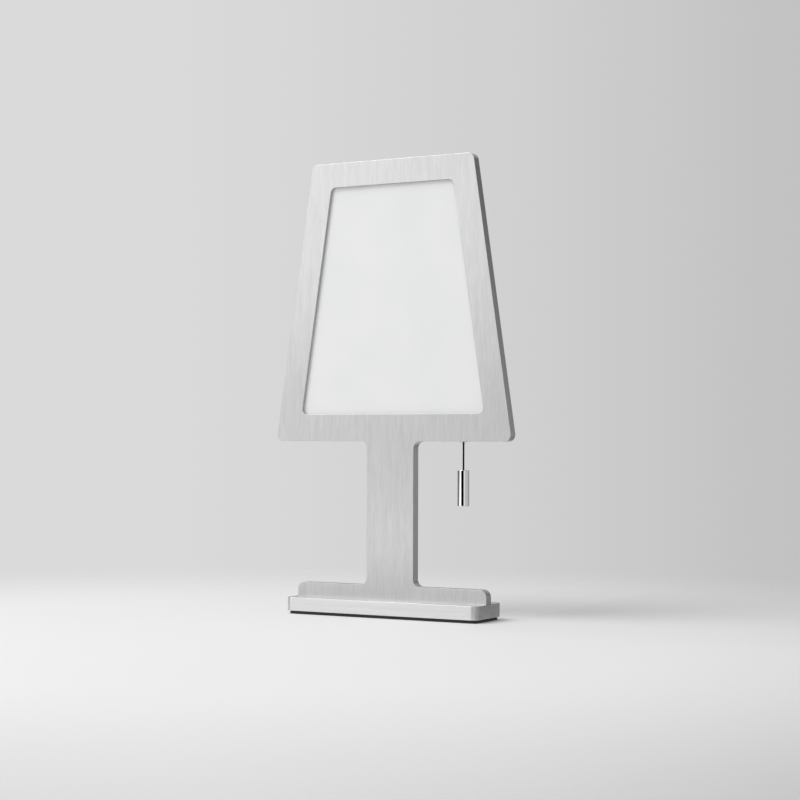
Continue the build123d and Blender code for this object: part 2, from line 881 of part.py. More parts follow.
def make_left_led_wires():
    """The pair from the board's left socket to the foot of the left strip."""
    mouth_x = board_left_x + 0.8
    strip_x = -half_width(cavity_bottom_z + 2, cavity_inset) + strip_thickness / 2
    wires = []
    for step in (-0.6, 0.6):
        y = board_face_y + connector_size[1] / 2
        route = [
            (mouth_x, y, bay_middle_z + step),
            (mouth_x - 34, y + step, bay_middle_z - 2 + step),
            (strip_x + 2.2, y + step, bay_middle_z + 1.0),
            (strip_x, y + step * 0.9, cavity_bottom_z + 2.6),
        ]
        wires.append(wire(route, signal_wire_diameter))
    return wires


def make_right_led_wires():
    """The pair from the board's upper right socket, over the switch, to the right strip."""
    mouth_x = board_right_x - 0.8
    over_z = (switch_top_z + bay_top_z) / 2
    strip_x = half_width(cavity_bottom_z + 2, cavity_inset) - strip_thickness / 2
    socket_z = connector_places()[1][1]
    y = board_face_y + connector_size[1] / 2
    wires = []
    for step in (-0.6, 0.6):
        route = [
            (mouth_x, y, socket_z + step),
            (mouth_x + 8, y, socket_z + step),
            (switch_left_x - 10, y + step, over_z),
            (switch_right_x, y + step, over_z - 0.1),
            (strip_x - 1.6, y + step, bay_top_z - 1.6),
            (strip_x, y + step * 0.9, cavity_bottom_z + 2.6),
        ]
        wires.append(wire(route, signal_wire_diameter))
    return wires


def make_switch_wires():
    """The pair from the switch's tabs to the board's lower right socket."""
    mouth_x = board_right_x - 0.8
    tab_x = switch_left_x - 1.0
    socket_z = connector_places()[2][1]
    y = board_face_y + connector_size[1] / 2
    wires = []
    for step in (-1, 1):
        tab_z = tact_centre_z + step * (tab_pitch - tab_size[2] - signal_wire_diameter) / 2
        route = [
            (tab_x, pull_y, tab_z),
            (tab_x - 6, pull_y, tab_z),
            (tab_x - 20, y, socket_z + step * 0.6 + 1.0),
            (mouth_x + 8, y, socket_z + step * 0.6),
            (mouth_x, y, socket_z + step * 0.55),
        ]
        wires.append(wire(route, signal_wire_diameter))
    return wires


# ---------------------------------------------------------------- write every node

os.makedirs("parts", exist_ok=True)


def save(name, piece):
    """Write one node. A list is a group of separate solids."""
    shape = Compound(children=piece) if isinstance(piece, list) else piece
    export_step(shape, os.path.join("parts", name + ".step"))


strip = make_led_strip()
leds = make_leds()

nodes = {
    "frame_plate": make_frame_plate(),
    "rear_cover": make_rear_cover(),
    "rear_cover_screws": make_cover_screws(),
    "diffuser": make_diffuser(),
    "optical_film": make_optical_film(),
    "light_guide": make_light_guide(),
    "reflector_sheet": make_reflector_sheet(),
    "foam_backing": make_foam_backing(),
    "led_strip_right": strip,
    "led_strip_left": mirror(strip, about=Plane.YZ),
    "leds_right": leds,
    "leds_left": [mirror(led, about=Plane.YZ) for led in leds],
    "driver_pad": make_driver_pad(),
    "driver_board": make_driver_board(),
    "driver_inductor": make_driver_inductor(),
    "driver_chip": make_driver_chip(),
    "driver_capacitors": make_driver_capacitors(),
    "wire_connectors": make_wire_connectors(),
    "switch_housing": make_switch_housing(),
    "switch_lid": make_switch_lid(),
    "pull_slider": make_pull_slider(),
    "cord_ferrule": make_cord_ferrule(),
    "return_spring": make_return_spring(),
    "tact_switch": make_tact_switch(),
    "switch_plunger": make_switch_plunger(),
    "switch_terminals": make_switch_terminals(),
    "exit_eyelet": make_exit_eyelet(),
    "cord_upper": make_cord_upper(),
    "cord_stop": make_cord_stop(),
    "pull_cord": make_pull_cord(),
    "cord_crimp": make_cord_crimp(),
    "knob_insert": make_knob_insert(),
    "pull_knob": make_pull_knob(),
    "base_bar": make_base_bar(),
    "rubber_pad": make_rubber_pad(),
    "foot_screws": make_foot_screws(),
    "dc_jack": make_dc_jack(),
    "dc_jack_pin": make_dc_jack_pin(),
    "dc_jack_nut": make_dc_jack_nut(),
    "dc_jack_lugs": make_dc_jack_lugs(),
    "power_wires": make_power_wires(),
    "left_led_wires": make_left_led_wires(),
    "right_led_wires": make_right_led_wires(),
    "switch_wires": make_switch_wires(),
}

for node_name, piece in nodes.items():
    save(node_name, piece)
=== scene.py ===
"""A light therapy lamp on a pale studio floor.

A flat plate of brushed aluminium, cut to the outline of a table lamp, stands in a solid bar. A
white light panel fills the window in its shade, and a pull cord with a polished knob hangs from
its border. The sections follow the lamp as it is put together. Lengths are in metres, most of
them written as mm * MM.
"""

import math

import bmesh
import bpy
from mathutils import Matrix, Vector
from mathutils.geometry import tessellate_polygon


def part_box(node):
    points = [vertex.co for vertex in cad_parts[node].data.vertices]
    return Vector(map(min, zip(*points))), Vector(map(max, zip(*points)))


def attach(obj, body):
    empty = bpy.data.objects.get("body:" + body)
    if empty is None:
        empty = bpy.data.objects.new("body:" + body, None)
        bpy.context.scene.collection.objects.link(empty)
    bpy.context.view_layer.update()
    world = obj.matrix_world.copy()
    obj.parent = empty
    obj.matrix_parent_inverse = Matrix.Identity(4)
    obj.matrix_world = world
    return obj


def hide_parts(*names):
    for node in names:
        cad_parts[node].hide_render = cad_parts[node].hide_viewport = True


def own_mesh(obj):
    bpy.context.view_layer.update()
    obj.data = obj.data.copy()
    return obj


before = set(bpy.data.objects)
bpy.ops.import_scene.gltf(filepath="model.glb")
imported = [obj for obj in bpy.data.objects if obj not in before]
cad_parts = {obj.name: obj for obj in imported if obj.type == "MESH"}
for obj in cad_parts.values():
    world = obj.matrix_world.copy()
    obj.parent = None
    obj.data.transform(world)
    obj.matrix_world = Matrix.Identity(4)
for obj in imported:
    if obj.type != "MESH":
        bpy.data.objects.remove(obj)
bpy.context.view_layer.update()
scene = bpy.context.scene
MM = 0.001

# ---------------------------------------------------------------- camera
# A long lens at the height of the lamp's neck, well to the right of the plate's middle, tipped up
# a little over a degree and leaning by a fifth of a degree.

camera_turn = math.radians(29.124)
camera_rise = math.radians(1.337)
camera_lean = math.radians(0.196)
camera_place = Vector((868.7, -1545.0, 166.4)) * MM

ahead = (-math.sin(camera_turn), math.cos(camera_turn), math.tan(camera_rise))
forwards = Vector(ahead).normalized()
level_right = Vector((math.cos(camera_turn), math.sin(camera_turn), 0))
level_up = level_right.cross(forwards)
right = level_right * math.cos(camera_lean) + level_up * math.sin(camera_lean)
up = right.cross(forwards)

lens = bpy.data.cameras.new("camera")
lens.sensor_width = 36
lens.lens = 82.886
camera = bpy.data.objects.new("camera", lens)
camera_axes = Matrix((right, up, -forwards)).transposed().to_4x4()
camera.matrix_world = Matrix.Translation(camera_place) @ camera_axes
scene.collection.objects.link(camera)
scene.camera = camera

# ---------------------------------------------------------------- pull cord
# Black braided polyester, 1.7 mm thick, pulled straight by the knob that it carries. It leaves the
# plate through the eyelet and ends in a crimp inside the knob.

cord_diameter = 1.7 * MM
braid_pitch = 1.1 * MM
braid_lean = math.radians(38)
wave_step = 0.314  # between the bands of a wave texture at scale 1
spline_reach = 12 * MM  # from each end of the cord to the spline's inner points
pull_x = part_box("pull_cord")[0].x + cord_diameter / 2
pull_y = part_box("pull_cord")[0].y + cord_diameter / 2
cord_exit_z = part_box("exit_eyelet")[0].z
cord_end_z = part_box("pull_cord")[0].z


def linear(colour):
    """An sRGB hex colour as Blender's linear one."""
    channels = [int(colour[i : i + 2], 16) / 255 for i in (1, 3, 5)]
    return [c / 12.92 if c <= 0.04045 else ((c + 0.055) / 1.055) ** 2.4 for c in channels] + [1.0]


def add(tree, kind, inputs=None, **settings):
    """Add a node with its settings. Each input gets a value or another node's output."""
    node = tree.nodes.new(kind)
    for name, value in settings.items():
        setattr(node, name, value)
    for name, value in (inputs or {}).items():
        if isinstance(value, bpy.types.NodeSocket):
            tree.links.new(value, node.inputs[name])
        else:
            node.inputs[name].default_value = value
    return node


def new_material(name, **sockets):
    """A material and its tree, with values set on the shader's own sockets."""
    material = bpy.data.materials.new(name)
    material.use_nodes = True
    tree = material.node_tree
    shader = tree.nodes["Principled BSDF"]
    for socket, value in sockets.items():
        shader.inputs[socket.replace("_", " ")].default_value = value
    return material, tree, shader


def tint(tree, shader, marks, dark, light, start=0.35, end=0.65):
    """Give a shader a colour between two sRGB hex values, as its marks go."""
    ramp = add(tree, "ShaderNodeValToRGB", {"Fac": marks})
    ramp.color_ramp.elements[0].position = start
    ramp.color_ramp.elements[0].color = linear(dark)
    ramp.color_ramp.elements[1].position = end
    ramp.color_ramp.elements[1].color = linear(light)
    tree.links.new(ramp.outputs["Color"], shader.inputs["Base Color"])


def relief(tree, shader, height, strength, distance):
    """Give a shader a bump of that many metres."""
    bump = add(
        tree, "ShaderNodeBump", {"Height": height, "Strength": strength, "Distance": distance}
    )
    tree.links.new(bump.outputs["Normal"], shader.inputs["Normal"])


def braided_polyester():
    """Black braided polyester: two sets of strands cross in a fine diamond pattern."""
    material, tree, shader = new_material(
        "braided polyester", Roughness=0.8, Specular_IOR_Level=0.2
    )
    place = add(tree, "ShaderNodeTexCoord").outputs["Object"]
    turns = []
    for lean in (1, -1):
        tilt = {"Vector": place, "Rotation": (0, lean * braid_lean, 0)}
        tilted = add(tree, "ShaderNodeMapping", tilt).outputs["Vector"]
        bands = {"Vector": tilted, "Scale": wave_step / braid_pitch, "Distortion": 0.6}
        wave = add(tree, "ShaderNodeTexWave", bands, bands_direction="Z")
        turns.append(wave.outputs["Fac"])
    braid = add(tree, "ShaderNodeMath", {0: turns[0], 1: turns[1]}, operation="MULTIPLY").outputs[0]
    tint(tree, shader, braid, "#040404", "#101011", 0.1, 0.8)
    relief(tree, shader, braid, 0.5, 0.15 * MM)
    return material


def straight_cord():
    """The cord as one smooth spline, straight down from the eyelet."""
    curve = bpy.data.curves.new("cord", "CURVE")
    curve.dimensions = "3D"
    curve.bevel_depth = cord_diameter / 2
    curve.bevel_resolution = 5
    curve.use_fill_caps = True
    spline = curve.splines.new("NURBS")
    heights = (cord_exit_z, cord_exit_z - spline_reach, cord_end_z + spline_reach, cord_end_z)
    spline.points.add(len(heights) - 1)
    for point, height in zip(spline.points, heights):
        point.co = (pull_x, pull_y, height, 1)
    spline.order_u = 3
    spline.use_endpoint_u = True
    spline.resolution_u = 12
    curve.materials.append(braided_polyester())
    cord = bpy.data.objects.new("cord", curve)
    scene.collection.objects.link(cord)
    return cord


cord = straight_cord()
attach(cord, "pull")
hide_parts("pull_cord")

# ---------------------------------------------------------------- pull knob
# A turned brass cylinder, polished and chrome plated like a mirror, its rims broken by hand. The
# insert that holds the cord is pressed in from above and left in bare brass.

crease = math.radians(42)  # edges sharper than this stay sharp in the shading


def turned(profile, centre, along_y=False, steps=72):
    """A lathe-turned mesh from (radius, distance) points, closed at the axis or in a ring."""
    made = bmesh.new()
    rings = []
    for radius, distance in profile:
        ring = []
        for i in range(steps if radius else 1):
            angle = math.tau * i / steps
            across, aside = radius * math.cos(angle), radius * math.sin(angle)
            offset = (across, distance, aside) if along_y else (across, aside, distance)
            ring.append(made.verts.new(centre + Vector(offset)))
        rings.append(ring)
    if profile[0][0] and profile[-1][0]:
        rings.append(rings[0])
    for low, high in zip(rings, rings[1:]):
        for i in range(steps):
            j = (i + 1) % steps
            lower = [low[i % len(low)], low[j % len(low)]]
            upper = [high[j % len(high)], high[i % len(high)]]
            made.faces.new(list(dict.fromkeys(lower + upper)))
    return made


def evaluated(thing):
    """An object as its modifiers leave it."""
    return thing.evaluated_get(bpy.context.evaluated_depsgraph_get())


def piece(name, made, material, body, slot, *nodes):
    """Finish a mesh as one piece: faces outwards, flats flat, edges soft, riding on its body."""
    bmesh.ops.recalc_face_normals(made, faces=made.faces)
    mesh = bpy.data.meshes.new(name)
    made.to_mesh(mesh)
    made.free()
    mesh.shade_smooth()
    mesh.set_sharp_from_angle(angle=crease)
    mesh.materials.append(material)
    rough = bpy.data.objects.new(name, mesh)
    scene.collection.objects.link(rough)
    flats = rough.modifiers.new("flats", "WEIGHTED_NORMAL")
    flats.keep_sharp = True
    finished = bpy.data.meshes.new_from_object(evaluated(rough))
    rough.modifiers.clear()
    rough.data = finished
    rough.data.name = name
    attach(rough, body)
    if nodes:
        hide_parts(*nodes)
    return rough


def rounded_rim(radius, height, size, steps=3):
    """Profile points of a quarter-round rim, from the side to the flat top."""
    points = []
    for i in range(steps + 1):
        angle = math.pi / 2 * i / steps
        drop = size * (1 - math.sin(angle))
        points.append((radius - size * (1 - math.cos(angle)), height - drop))
    return points


def stretched_noise(tree, cell, detail=2.0, seed=0.0):
    """Noise whose cells have the given size along X, Y and Z, in metres."""
    place = add(tree, "ShaderNodeTexCoord").outputs["Object"]
    sizes = {"Vector": place, "Scale": [1 / size for size in cell], "Location": [seed] * 3}
    scaled = add(tree, "ShaderNodeMapping", sizes).outputs["Vector"]
    noise = add(tree, "ShaderNodeTexNoise", {"Vector": scaled, "Scale": 1.0, "Detail": detail})
    return noise.outputs["Fac"]


def roughen(tree, shader, marks, low, high):
    """Give a shader a roughness from low to high, as its marks go."""
    ends = {"Value": marks, "To Min": low, "To Max": high}
    roughness = add(tree, "ShaderNodeMapRange", ends).outputs["Result"]
    tree.links.new(roughness, shader.inputs["Roughness"])


def bright_metal(name, dark, light, roughness, cell, detail=2):
    """Plated, turned or drawn metal, whose marks blur what it mirrors a little.

    The roughness is the shader's own and the two that the marks lie between.
    """
    even, low, high = roughness
    material, tree, shader = new_material(name, Metallic=1.0, Roughness=even)
    marks = stretched_noise(tree, cell, detail)
    tint(tree, shader, marks, dark, light)
    roughen(tree, shader, marks, low, high)
    return material


knob_low, knob_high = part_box("pull_knob")
insert_low, insert_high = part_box("knob_insert")
knob_radius = (knob_high.x - knob_low.x) / 2
knob_bore = (insert_high.x - insert_low.x) / 2
knob_rim = 0.45 * MM
crimp_play = 0.5 * MM
bore_floor_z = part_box("cord_crimp")[0].z - crimp_play
axis = Vector((pull_x, pull_y, 0))

top_rim = rounded_rim(knob_radius, knob_high.z, knob_rim)
bottom_rim = [(r, knob_low.z + knob_high.z - z) for r, z in reversed(top_rim)]
knob_profile = [(0, knob_low.z), *bottom_rim, *top_rim, (knob_bore, knob_high.z)]
knob_profile += [(knob_bore, bore_floor_z), (0, bore_floor_z)]
haze = (0.5 * MM, 0.5 * MM, 9 * MM)
chrome = bright_metal("mirror chrome", "#E8E9EA", "#F2F2F3", (0.05, 0.006, 0.016), haze, 3)
knob = piece("knob", turned(knob_profile, axis), chrome, "pull", "polished_chrome", "pull_knob")

insert_bore = cord_diameter / 2
insert_edge = 0.3 * MM
insert_profile = [
    (insert_bore, insert_low.z),
    (knob_bore, insert_low.z),
    (knob_bore, insert_high.z - insert_edge),
    (knob_bore - insert_edge, insert_high.z),
    (insert_bore + insert_edge, insert_high.z),
    (insert_bore, insert_high.z - insert_edge),
]
tool_marks = (0.3 * MM, 0.3 * MM, 2 * MM)
brass = bright_metal("turned brass", "#A98B4E", "#C4A664", (0.28, 0.22, 0.36), tool_marks)
insert_made = turned(insert_profile, axis, steps=48)
insert = piece("knob_plug", insert_made, brass, "pull", "brass", "knob_insert")

# ---------------------------------------------------------------- cord bead
# A small bead moulded in black acetal, which grips the cord hard under the eyelet and stops it from
# running up into the plate.


def moulded_black():
    """Black acetal or nylon straight from the mould: satin, with a fine spark-eroded grain."""
    material, tree, shader = new_material("moulded black nylon", Roughness=0.46, IOR=1.5)
    grain = stretched_noise(tree, (0.25 * MM, 0.25 * MM, 0.25 * MM), 3)
    tint(tree, shader, grain, "#0E0E0F", "#1A1A1B")
    relief(tree, shader, grain, 0.25, 0.02 * MM)
    return material


black_nylon = moulded_black()
bead_low, bead_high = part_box("cord_stop")
bead_radius = (bead_high.z - bead_low.z) / 2
bead_centre = (bead_low + bead_high) / 2
bead_steps = 12
bead_profile = []
for step in range(bead_steps + 1):
    angle = math.pi * step / bead_steps
    ring_radius = bead_radius * math.sin(angle) if 0 < step < bead_steps else 0
    bead_profile.append((ring_radius, -bead_radius * math.cos(angle)))
bead_made = turned(bead_profile, bead_centre, steps=24)
bead = piece("bead", bead_made, black_nylon, "cord_bead", "black_plastic", "cord_stop")

# ---------------------------------------------------------------- frame plate
# One 10 mm plate of aluminium: sawn and milled to shape, pocketed from behind, its faces brushed
# from top to bottom and its edges broken, then clear anodised.

plate_low, plate_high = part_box("frame_plate")
front_y, back_y = plate_low.y, plate_high.y
edge_round = 0.25 * MM
corner_steps = 10

shade_bottom_z, shade_top_z = 168.0 * MM, plate_high.z
shade_half_bottom, shade_half_top = 129.3 * MM, 88.6 * MM
side_slope = (shade_half_bottom - shade_half_top) / (shade_top_z - shade_bottom_z)
slant = math.sqrt(1 + side_slope**2)
side_border = 24.8 * MM
side_lip, level_lip = 8.0 * MM, 4.2 * MM
seat_width = 6.0 * MM
cavity_inset = side_border - side_lip
cover_inset = cavity_inset - seat_width
neck_half = 25.5 * MM
foot_half = 103.4 * MM
foot_top_z = 29.5 * MM
tenon_half = 92.0 * MM
bar_top_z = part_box("base_bar")[1].z
window_low_z, window_high_z = 194.2 * MM, 416.2 * MM
cavity_low_z, cavity_high_z = window_low_z - level_lip, window_high_z + level_lip
window_corner, cavity_corner = 5.5 * MM, 2.0 * MM
cover_low, cover_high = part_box("rear_cover")
cover_gap = 0.15 * MM
cover_low_z, cover_high_z = 171.0 * MM, cover_high.z + cover_gap
tongue_half = 14.0 * MM
tongue_low_z = cover_low.z - cover_gap
lip_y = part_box("diffuser")[0].y
cover_y = cover_low.y
streak_share = 0.4  # of the broad streaks in the brush marks


def rounded(corners, radii, inset=0.0, steps=corner_steps):
    """A polygon, counter-clockwise, drawn inwards by the inset, its corners rounded by arcs."""
    points = []
    count = len(corners)
    for i, (corner, radius) in enumerate(zip(corners, radii)):
        here = Vector(corner)
        came = (here - Vector(corners[i - 1])).normalized()
        goes = (Vector(corners[(i + 1) % count]) - here).normalized()
        came_left, goes_left = Vector((-came.y, came.x)), Vector((-goes.y, goes.x))
        here = here + (came_left + goes_left) * inset / (1 + came_left.dot(goes_left))
        turn = math.atan2(came.cross(goes), came.dot(goes))
        side = 1 if turn > 0 else -1
        arc = max(radius - side * inset, 0.01 * MM)
        start = here - came * arc * math.tan(abs(turn) / 2)
        centre = start + came_left * arc * side
        spoke = start - centre
        for k in range(steps + 1):
            bend = turn * k / steps
            cos, sin = math.cos(bend), math.sin(bend)
            points.append(
                (centre.x + spoke.x * cos - spoke.y * sin, centre.y + spoke.x * sin + spoke.y * cos)
            )
    return points


def half_width(z, border):
    """Half the shade's width at a height, a border's width inside its slanted side."""
    return shade_half_bottom - side_slope * (z - shade_bottom_z) - border * slant


def shade_shape(low_z, high_z, border, radius, inset=0.0):
    """The shade's trapezium, a border's width inside its slanted sides."""
    low, high = half_width(low_z, border), half_width(high_z, border)
    corners = [(-low, low_z), (low, low_z), (high, high_z), (-high, high_z)]
    return rounded(corners, [radius] * 4, inset)


def mirrored(right_side, radii, inset):
    """An outline from the corners of its right side, going up, and their radii in mm."""
    corners = right_side + [(-x, z) for x, z in reversed(right_side)]
    return rounded(corners, [r * MM for r in radii + radii[::-1]], inset)


def plate_shape(inset=0.0):
    """Shade, neck, foot and the tenon that is let into the bar, in one outline."""
    right_side = [
        (tenon_half, plate_low.z),
        (tenon_half, bar_top_z),
        (foot_half, bar_top_z),
        (foot_half, foot_top_z),
        (neck_half, foot_top_z),
        (neck_half, shade_bottom_z),
        (shade_half_bottom, shade_bottom_z),
        (shade_half_top, shade_top_z),
    ]
    return mirrored(right_side, [0.5, 0.3, 0.5, 7.0, 7.0, 7.0, 6.5, 6.5], inset)


def cover_shape(inset=0.0):
    """The rear cover's seat: the shade's trapezium with a tongue down the neck."""
    right_side = [
        (tongue_half, tongue_low_z),
        (tongue_half, cover_low_z),
        (half_width(cover_low_z, cover_inset), cover_low_z),
        (half_width(cover_high_z, cover_inset), cover_high_z),
    ]
    return mirrored(right_side, [4.0, 4.0, 6.5, 6.5], inset)


def rounding(shape, flat, direction, inwards=1):
    """Levels of a quarter-round edge, from the wall to the flat face at Y."""
    levels = []
    for i in range(4):
        angle = math.pi / 2 * i / 3
        inset = edge_round * (1 - math.cos(angle)) * inwards
        levels.append((shape(inset), flat - direction * edge_round * (1 - math.sin(angle))))
    return levels


def wall(made, here, there):
    """Faces between two rings of as many corners."""
    for i in range(len(here)):
        made.faces.new((here[i - 1], here[i], there[i], there[i - 1]))


def cap(made, *rings):
    """A flat face inside the first ring and round the others."""
    verts = [vert for ring in rings for vert in ring]
    for triangle in tessellate_polygon([[vert.co for vert in ring] for ring in rings]):
        made.faces.new([verts[i] for i in triangle])


def skin(levels, closed=False, upright=True):
    """A mesh through outlines at successive levels. Outlines of unlike shape share a flat ring."""
    made = bmesh.new()
    rings = []
    for shape, level in levels:
        corners = [(u, level, v) if upright else (u, v, level) for u, v in shape]
        rings.append([made.verts.new(corner) for corner in corners])
    for here, there in zip(rings, rings[1:] + rings[:1] if closed else rings[1:]):
        if len(here) == len(there):
            wall(made, here, there)
        else:
            cap(made, *sorted((here, there), key=len, reverse=True))
    if not closed:
        cap(made, rings[0])
        cap(made, rings[-1])
    return made


def cut(made, tool):
    """One mesh with another taken out of it."""
    pair = []
    for source in (made, tool):
        bmesh.ops.recalc_face_normals(source, faces=source.faces)
        mesh = bpy.data.meshes.new("cutting")
        source.to_mesh(mesh)
        source.free()
        holder = bpy.data.objects.new("cutting", mesh)
        scene.collection.objects.link(holder)
        pair.append(holder)
    work, knife = pair
    step = work.modifiers.new("cut", "BOOLEAN")
    step.operation = "DIFFERENCE"
    step.solver = "EXACT"
    step.object = knife
    result = bmesh.new()
    result.from_mesh(evaluated(work).to_mesh())
    for holder in pair:
        bpy.data.objects.remove(holder)
    return result


def brushed_aluminium(name, along, scratch, streak, greys, roughness, bump):
    """Anodised aluminium brushed along an axis: hair-fine scratches spread the light across them.

    The scratches and the broad streaks between them are each a cell, a detail and a seed. The real
    scratches are about 0.1 mm apart, too fine to show, so they are drawn 0.6 to 0.8 mm apart.
    """
    even, low, high = roughness
    material, tree, shader = new_material(name, Metallic=1.0, Roughness=even, Anisotropic=0.85)
    fine = stretched_noise(tree, *scratch)
    marks = {"Factor": streak_share, "A": fine, "B": stretched_noise(tree, *streak)}
    both = add(tree, "ShaderNodeMix", marks, data_type="FLOAT").outputs["Result"]
    tint(tree, shader, both, *greys, 0.3, 0.7)
    roughen(tree, shader, both, low, high)
    facing = add(tree, "ShaderNodeNewGeometry").outputs["Normal"]
    crosswise = add(
        tree, "ShaderNodeVectorMath", {0: facing, 1: along}, operation="CROSS_PRODUCT"
    ).outputs["Vector"]
    tree.links.new(crosswise, shader.inputs["Tangent"])
    relief(tree, shader, fine, bump, 0.03 * MM)
    return material


def window_shape(inset=0.0):
    """The window's edge, drawn inwards by the inset."""
    return shade_shape(window_low_z, window_high_z, side_border, window_corner, inset)


cavity = shade_shape(cavity_low_z, cavity_high_z, cavity_inset, cavity_corner)
plate_levels = rounding(plate_shape, front_y, -1)
plate_levels += rounding(window_shape, front_y, -1, inwards=-1)[::-1]
plate_levels += [(window_shape(), lip_y), (cavity, lip_y), (cavity, cover_y)]
plate_levels += [(cover_shape(), cover_y), (cover_shape(), back_y)]
plate_levels += rounding(plate_shape, back_y, 1)[::-1]
plate = skin(plate_levels, closed=True)

# What the light panel needs behind it: a bay for the board and the wires, a notch at each end up
# to the strips, a pocket for the switch, a channel down the neck and two bores.
bay_half, bay_corner = 109.0 * MM, 2.0 * MM
bay_low_z, bay_high_z = 176.0 * MM, 188.5 * MM
switch_low, switch_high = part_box("switch_housing")
switch_corner = 0.05 * MM
notch_half, notch_corner = 2.0 * MM, 0.5 * MM
notch_inset = 2.6 * MM
notch_middle = half_width(cavity_low_z, cavity_inset) - notch_inset
channel_half, channel_corner = 4.0 * MM, 1.0 * MM
channel_low_z, channel_floor_y = 24.0 * MM, 0.0
wire_bore, wire_bore_high_z = 2.5 * MM, 29.0 * MM
cord_bore = 1.7 * MM
overlap = 0.5 * MM
notch_height = (bay_high_z - overlap, cavity_low_z + overlap)
channel_height = (channel_low_z, bay_low_z + overlap)


def pocket(width, height, radius, front):
    """A cutter for a pocket milled from behind, from its floor to just past the cover's seat."""
    (left, right), (low_z, high_z) = width, height
    corners = [(left, low_z), (right, low_z), (right, high_z), (left, high_z)]
    outline = rounded(corners, [radius] * 4, steps=4)
    return skin([(outline, front), (outline, cover_y + overlap)])


def drill(x, y, radius, low_z, high_z):
    """A cutter for an upright bore."""
    profile = [(0, low_z), (radius, low_z), (radius, high_z), (0, high_z)]
    return turned(profile, Vector((x, y, 0)), steps=32)


cutters = [
    pocket((-bay_half, bay_half), (bay_low_z, bay_high_z), bay_corner, lip_y),
    pocket((switch_low.x, switch_high.x), (switch_low.z, bay_high_z), switch_corner, lip_y),
    pocket((-channel_half, channel_half), channel_height, channel_corner, channel_floor_y),
    drill(0, 0, wire_bore, plate_low.z - overlap, wire_bore_high_z),
    drill(pull_x, pull_y, cord_bore, shade_bottom_z - overlap, switch_low.z + overlap),
]
for side in (-1, 1):
    notch = (side * notch_middle - notch_half, side * notch_middle + notch_half)
    cutters.append(pocket(notch, notch_height, notch_corner, lip_y))
for cutter in cutters:
    plate = cut(plate, cutter)

aluminium = brushed_aluminium(
    "brushed anodised aluminium",
    along=(0, 0, 1),
    scratch=((0.8 * MM, 0.8 * MM, 14 * MM), 2),
    streak=((5 * MM, 5 * MM, 60 * MM), 2, 7),
    greys=("#C1C1C1", "#D3D3D3"),
    roughness=(0.3, 0.28, 0.31),
    bump=0.12,
)
piece("plate", plate, aluminium, "lamp", "brushed_aluminium", "frame_plate")

# ---------------------------------------------------------------- light panel
# An edge-lit sandwich dropped in from behind: opal acrylic against the window's lip, then film,
# light guide, white reflector and foam. Only the opal sheet is seen.


def opal_acrylic():
    """Satin opal acrylic: a soft even white with a low sheen and a barely uneven cast surface."""
    material, tree, shader = new_material(
        "satin opal acrylic", Roughness=0.42, IOR=1.49, Coat_Weight=0.05, Coat_Roughness=0.3
    )
    cloud = stretched_noise(tree, (60 * MM, 60 * MM, 60 * MM), 1)
    tint(tree, shader, cloud, "#E4E5E5", "#E8E8E8")
    satin = stretched_noise(tree, (0.6 * MM, 0.6 * MM, 0.6 * MM), 2)
    relief(tree, shader, satin, 0.06, 0.01 * MM)
    return material


panel_low, panel_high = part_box("diffuser")
panel_play = 0.2 * MM
panel_shape = shade_shape(
    panel_low.z, panel_high.z, cavity_inset + panel_play, cavity_corner - panel_play
)
panel_made = skin([(panel_shape, panel_low.y), (panel_shape, panel_high.y)])
piece("panel", panel_made, opal_acrylic(), "lamp", "opal_acrylic", "diffuser")


def finish_nodes(material, *names):
    """Give CAD nodes that stay as they are a material."""
    for name in names:
        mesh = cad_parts[name].data
        mesh.materials.clear()
        mesh.materials.append(material)


def clear_sheet(name, roughness):
    """Clear acrylic or film, its faces roughened by dots or prisms a millimetre apart."""
    material, tree, shader = new_material(
        name, Transmission_Weight=0.9, IOR=1.49, Roughness=roughness
    )
    dots = stretched_noise(tree, (1.0 * MM, 1.0 * MM, 1.0 * MM), 1)
    tint(tree, shader, dots, "#E9F0F0", "#FFFFFF")
    relief(tree, shader, dots, 0.2, 0.02 * MM)
    return material


def matte_sheet(name, dark, light, roughness, cell):
    """A plain moulded, coated or cut surface with a fine irregular grain."""
    material, tree, shader = new_material(name, Roughness=roughness, IOR=1.5)
    grain = stretched_noise(tree, (cell, cell, cell), 3)
    tint(tree, shader, grain, dark, light)
    roughen(tree, shader, grain, roughness - 0.06, roughness + 0.06)
    relief(tree, shader, grain, 0.3, 0.05 * cell)
    return material


finish_nodes(clear_sheet("prismatic film", 0.25), "optical_film")
finish_nodes(clear_sheet("cast clear acrylic", 0.04), "light_guide")
white_film = matte_sheet("white reflector film", "#F0F0EE", "#F8F8F7", 0.6, 0.4 * MM)
finish_nodes(white_film, "reflector_sheet")
finish_nodes(matte_sheet("closed-cell foam", "#101011", "#1D1D1E", 0.9, 0.8 * MM), "foam_backing")
strip_mask = matte_sheet("white solder mask", "#E8E9E6", "#F2F2F0", 0.35, 0.5 * MM)
finish_nodes(strip_mask, "led_strip_left", "led_strip_right")
phosphor = matte_sheet("silicone phosphor", "#E3C04E", "#EFD472", 0.4, 0.3 * MM)
finish_nodes(phosphor, "leds_left", "leds_right")

# ---------------------------------------------------------------- driver board
# A small green circuit board in the lower border, its parts soldered on. A thermal pad glues it to
# the plate.

